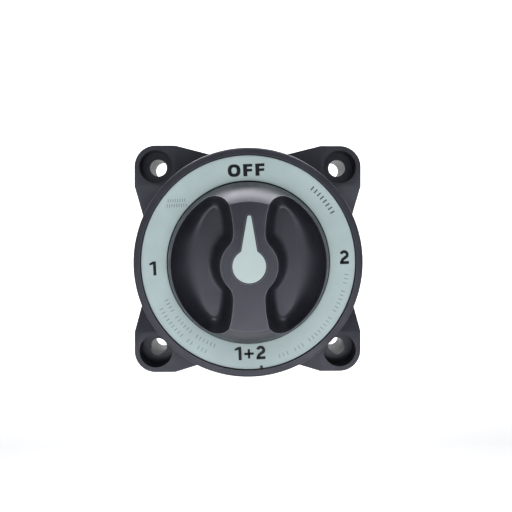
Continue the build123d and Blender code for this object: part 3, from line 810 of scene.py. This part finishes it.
def hex_nut(name, low, high, twist):
    corner_r = NUT_FLAT / math.cos(math.radians(30))
    crown_r = corner_r + 0.02
    nut = prism(name, arc((0, 0), corner_r, twist, twist + 300, 60), low, high)
    common(nut, lathe("nut_crown", [
        (0, low), (NUT_FACE_R, low), (crown_r, low + NUT_CHAMFER), (crown_r, high - NUT_CHAMFER),
        (NUT_FACE_R, high), (0, high)], 96))
    mouth_r, mouth = 6.7, 0.7
    cut(nut, lathe("nut_bore", [
        (0, low - 1), (mouth_r, low - 1), (mouth_r, low), (NUT_BORE_R, low + mouth),
        (NUT_BORE_R, high + 1), (0, high + 1)], 72))
    soften(nut, 0.12, 2)
    return nut


def washer(name, radii, low, high, edge):
    outer, inner = radii
    return lathe(name, rounded([(outer, low, edge), (outer, high, edge), (inner, high, edge),
                                (inner, low, edge)]), 96)


def lock_washer(name, low, high, twist):
    """Split washer: its gap leans over as the spring's turn does."""
    lock = washer(name, LOCK_WASHER, low, high, 0.35)
    gap = [[(x + 0.5 * (z - low), y, z) for x, y in bar(-0.4, 0.4, 4, 12)] for z in (low - 1, high + 1)]
    cut(lock, stack("lock_gap", gap))
    return turn(lock, twist)


def terminals():
    """Each stud with its nut and washers. The first nut and washers stand for the CAD's groups."""
    nut_low, nut_high = span("stud_nuts")[0].z, span("stud_nuts")[1].z
    lock_high = span("lock_washers")[1].z
    flat_low, flat_high = span("flat_washers")[0].z, span("flat_washers")[1].z
    for stud in STUD_ANGLES:
        x, y = stud_spot(stud)
        low, high = span(stud)
        piece = threaded(f"threaded_{stud}", STUD_R, low.z, high.z, flat_high)
        finish_piece(shift(piece, x, y), "case", tin_plate, [stud])
        nut = hex_nut(f"nut_{stud}", nut_low, nut_high, random.uniform(0, 60))
        lock = lock_washer(f"lock_washer_{stud}", nut_high, lock_high, random.uniform(0, 360))
        flat = washer(f"flat_washer_{stud}", FLAT_WASHER, flat_low, flat_high, 0.3)
        for item, group in ((nut, "stud_nuts"), (lock, "lock_washers"), (flat, "flat_washers")):
            replaced = [group] if stud == "common_stud" else ()
            finish_piece(shift(item, x, y), "case", steel, replaced)


random.seed(7)
front_cover()
dial_label()
lettering()
knob()
pointer()
outer_case()
base_and_barrier()
port_blanks()
terminals()


# ---- stage, light and camera ----------------------------------------------------------

def stage_material():
    """Pale matt floor that glows softly once it has turned up into the wall."""
    made = bpy.data.materials.new("stage_white")
    made.use_nodes = True
    tree = made.node_tree
    shader = tree.nodes["Principled BSDF"]
    shader.inputs["Base Color"].default_value = (0.62, 0.62, 0.63, 1)
    shader.inputs["Roughness"].default_value = 0.9
    shader.inputs["Emission Color"].default_value = (1, 1, 1, 1)
    place = node(tree, "ShaderNodeTexCoord")
    axes = node(tree, "ShaderNodeSeparateXYZ")
    tree.links.new(place.outputs["Object"], axes.inputs["Vector"])
    glow = spread(tree, axes.outputs["Z"],
                  {"From Min": -0.44, "From Max": -0.28, "To Min": 0.16, "To Max": 1.08})
    tree.links.new(glow, shader.inputs["Emission Strength"])
    return made


def stage():
    """Pale floor running up into a pale wall, well clear of the object."""
    floor_z, wall_y, near_y, top_z, half, bend_r = -0.45, 0.9, -1.6, 2.2, 2.2, 0.3
    bend = arc((wall_y - bend_r, floor_z + bend_r), bend_r, -90, 0, 9)
    line = [(near_y, floor_z)] + bend + [(wall_y, top_z)]
    verts = [(x, y, z) for x in (-half, half) for y, z in line]
    count = len(line)
    faces = [(k, k + 1, count + k + 1, count + k) for k in range(count - 1)]
    mesh = bpy.data.meshes.new("stage_sweep")
    mesh.from_pydata(verts, [], faces)
    mesh.materials.append(stage_material())
    mesh.shade_smooth()
    sweep = bpy.data.objects.new("stage_sweep", mesh)
    bpy.context.scene.collection.objects.link(sweep)


def softbox(name, place, size, power):
    """Rectangular light, in metres and watts, aimed at the middle of the switch."""
    light = bpy.data.lights.new(name, "AREA")
    light.shape = "RECTANGLE"
    light.size, light.size_y = size
    light.energy = power
    lamp = bpy.data.objects.new(name, light)
    lamp.location = place
    lamp.rotation_euler = (Vector((0, 0, 0)) - Vector(place)).to_track_quat("-Z", "Y").to_euler()
    bpy.context.scene.collection.objects.link(lamp)


def camera():
    """The photo's view: close, a little above and to the left, with the object low in the frame."""
    distance, right, up = 0.330, -0.0042, 0.0276
    tilt_down, pan = 0.34, -1.2
    view = bpy.data.cameras.new("camera")
    view.sensor_width = 36
    view.lens = 35.26
    view.shift_x, view.shift_y = 0.0088, -0.0797
    view.clip_start = 0.01
    eye = bpy.data.objects.new("camera", view)
    eye.location = (right, -distance, up)
    eye.rotation_euler = (math.radians(90 - tilt_down), 0, math.radians(pan))
    bpy.context.scene.collection.objects.link(eye)
    bpy.context.scene.camera = eye


def room():
    """Soft surroundings, a little brighter below than above."""
    world = bpy.data.worlds.new("studio")
    world.use_nodes = True
    tree = world.node_tree
    way = node(tree, "ShaderNodeTexCoord")
    axes = node(tree, "ShaderNodeSeparateXYZ")
    tree.links.new(way.outputs["Generated"], axes.inputs["Vector"])
    level = spread(tree, axes.outputs["Z"],
                   {"From Min": -0.45, "From Max": 0.15, "To Min": 0.8, "To Max": 0.3})
    background = tree.nodes["Background"]
    background.inputs["Color"].default_value = (0.93, 0.96, 1.0, 1)
    tree.links.new(level, background.inputs["Strength"])
    bpy.context.scene.world = world


stage()
softbox("key_top", (0, -0.62, 0.62), (0.7, 0.4), 2.9)
softbox("rim_top", (0, 0.3, 0.75), (1.1, 0.5), 12)
softbox("low_card", (0, -0.7, -0.27), (0.9, 0.22), 2.3)
softbox("fill_left", (-0.7, -0.35, 0.1), (0.4, 0.8), 0.3)
softbox("fill_right", (0.7, -0.35, 0.1), (0.4, 0.8), 0.3)
camera()
room()
bpy.context.scene.view_settings.view_transform = "Standard"
